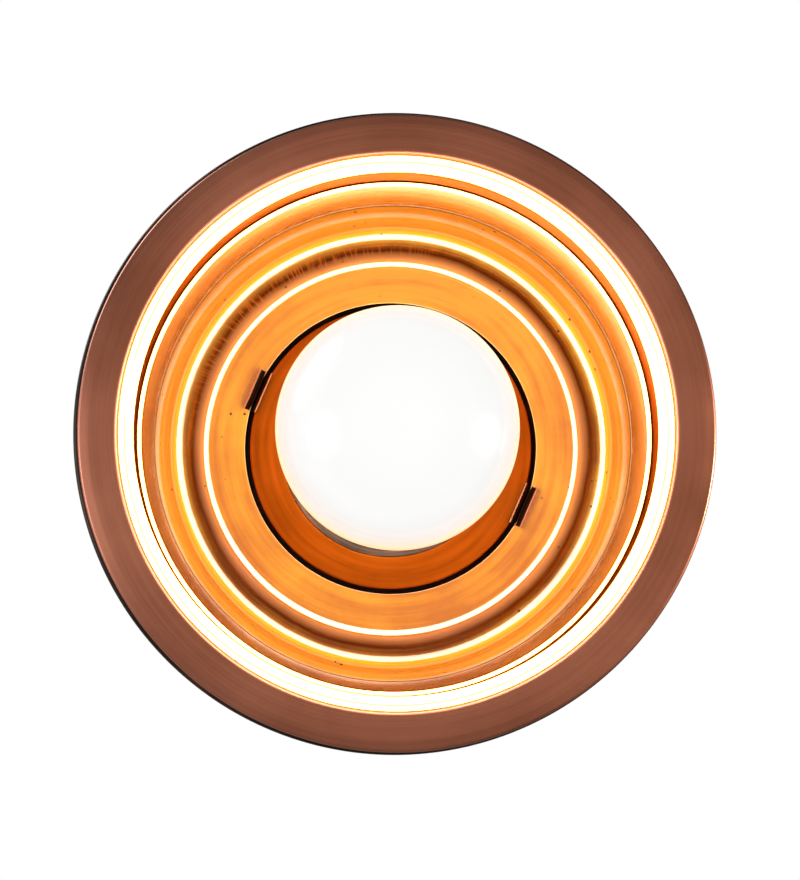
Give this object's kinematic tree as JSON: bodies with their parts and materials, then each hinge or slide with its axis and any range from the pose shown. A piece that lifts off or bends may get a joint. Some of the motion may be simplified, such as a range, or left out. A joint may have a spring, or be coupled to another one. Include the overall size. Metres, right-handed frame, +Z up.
{
  "type": "pendant lamp",
  "caption": "Round hanging lamp: dark spun shade with a wide copper lip, stepped polished copper reflector, clipped round plate, E27 lampholder and opal globe bulb.",
  "frame": {"origin": "on the lamp's axis, at the foot of the free thread of the hollow nipple, on the top face of the top nut", "axes": "+Z up along the lamp's axis towards the ceiling; the lamp opens downwards, and the pair of clips lies at 23.4 degrees from +X"},
  "size_m": [0.2624, 0.2624, 0.2053],
  "materials": {
    "lacquered_copper": "satin brown lacquered copper",
    "darkened_copper": "blackened copper, satin",
    "polished_copper": "polished, with fine turned rings",
    "satin_copper": "satin copper",
    "zinc_steel": "zinc plated",
    "brass": "plain brass",
    "bronze": "spring bronze",
    "phenolic": "black moulded phenolic",
    "steatite": "unglazed electrical ceramic",
    "opal_glass": "opal glass, lit",
    "white_plastic": "moulded white plastic",
    "nickel_cap": "nickelled sheet",
    "black_glass": "fused black insulator",
    "circuit_board": "solder mask",
    "led_phosphor": "phosphor"
  },
  "bodies": {
    "shade": {"outer_shade": "darkened_copper", "rim_ring": "lacquered_copper", "reflector_wall": "polished_copper", "reflector_dish": "polished_copper", "threaded_nipple": "zinc_steel", "inlet_bush": "phenolic", "top_nut": "zinc_steel", "top_washer": "zinc_steel", "inner_washer": "zinc_steel", "earth_tag": "brass", "inner_nut": "zinc_steel", "holder_cap": "phenolic", "holder_grub_screw": "zinc_steel", "holder_body": "phenolic", "holder_insert": "steatite", "holder_thread_shell": "brass", "side_contact": "bronze", "terminal_posts": "brass", "terminal_screws": "zinc_steel"},
    "plate": {"gallery_plate": "satin_copper"},
    "clip_left": {"plate_clip_left": "satin_copper"},
    "clip_right": {"plate_clip_right": "satin_copper"},
    "contact": {"centre_contact": "bronze"},
    "bulb": {"bulb_globe": "opal_glass", "bulb_collar": "white_plastic", "bulb_cap": "nickel_cap", "bulb_cap_insulator": "black_glass", "bulb_tip_contact": "nickel_cap", "bulb_led_board": "white_plastic", "bulb_led_chips": "led_phosphor", "bulb_driver_board": "circuit_board", "bulb_driver_parts": "black_glass"}
  },
  "joints": [
    {"name": "bulb_unscrew", "type": "slide", "parent": "shade", "child": "bulb", "axis": [0, 0, -1], "range_m": [0, 0.12]},
    {"name": "contact_press", "type": "slide", "parent": "shade", "child": "contact", "axis": [0, 0, 1], "range_m": [0, 0.0012], "stiffness_N_per_m": 800},
    {"name": "plate_drop", "type": "slide", "parent": "shade", "child": "plate", "axis": [0, 0, -1], "range_m": [0, 0.1]},
    {"name": "clip_left_pull", "type": "slide", "parent": "plate", "child": "clip_left", "axis": [0, 0, -1], "range_m": [0, 0.012]},
    {"name": "clip_right_pull", "type": "slide", "parent": "plate", "child": "clip_right", "axis": [0, 0, -1], "range_m": [0, 0.012]}
  ]
}
